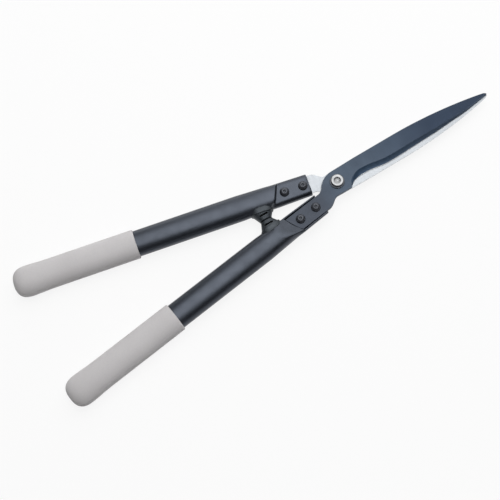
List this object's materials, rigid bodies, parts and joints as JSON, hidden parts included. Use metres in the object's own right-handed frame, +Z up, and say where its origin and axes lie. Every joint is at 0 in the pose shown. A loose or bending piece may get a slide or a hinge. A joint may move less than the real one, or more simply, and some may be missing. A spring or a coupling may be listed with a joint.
{
  "type": "grass shears",
  "caption": "Long-handled grass shears: hollow-ground blades on a bolted pivot, oval tube handles with soft sleeve grips, and rubber stops between the handles.",
  "frame": {"origin": "centre of the pivot bolt's flat lower end, on the plane that the shears lie on", "axes": "+X along the closed blades from the pivot to the tip, +Y towards the upper handle's side, +Z up along the pivot's axis"},
  "size_m": [0.5692, 0.1712, 0.025],
  "materials": {
    "front_blade_coat": "thin blue-grey low-friction coating on ground steel",
    "back_blade_steel": "fine ground, bright inner face, darker outer face",
    "tube_paint": "satin charcoal powder coat",
    "grip_sleeve": "soft matt light grey sleeve",
    "bumper_rubber": "matt moulded dark grey",
    "dark_fastener": "blackened steel, slightly glossy",
    "bright_bolt": "turned, bright zinc plated"
  },
  "bodies": {
    "back_half": {"back_blade": "back_blade_steel", "upper_handle_tube": "tube_paint", "upper_grip": "grip_sleeve", "upper_bumper": "bumper_rubber", "upper_front_screw": "dark_fastener", "upper_rear_screw": "dark_fastener", "upper_front_nut": "dark_fastener", "upper_rear_nut": "dark_fastener", "pivot_bolt": "bright_bolt", "pivot_washer_top": "dark_fastener", "pivot_washer_bottom": "dark_fastener", "pivot_disc_spring": "bright_bolt", "pivot_nut": "dark_fastener"},
    "front_half": {"front_blade": "front_blade_coat", "lower_handle_tube": "tube_paint", "lower_grip": "grip_sleeve", "lower_bumper": "bumper_rubber", "lower_front_screw": "dark_fastener", "lower_rear_screw": "dark_fastener", "lower_front_nut": "dark_fastener", "lower_rear_nut": "dark_fastener"}
  },
  "joints": [
    {"name": "blade_pivot", "type": "hinge", "parent": "back_half", "child": "front_half", "pos_m": [0, 0, 0.0125], "axis": [0, 0, 1], "range_deg": [0, 80]}
  ]
}
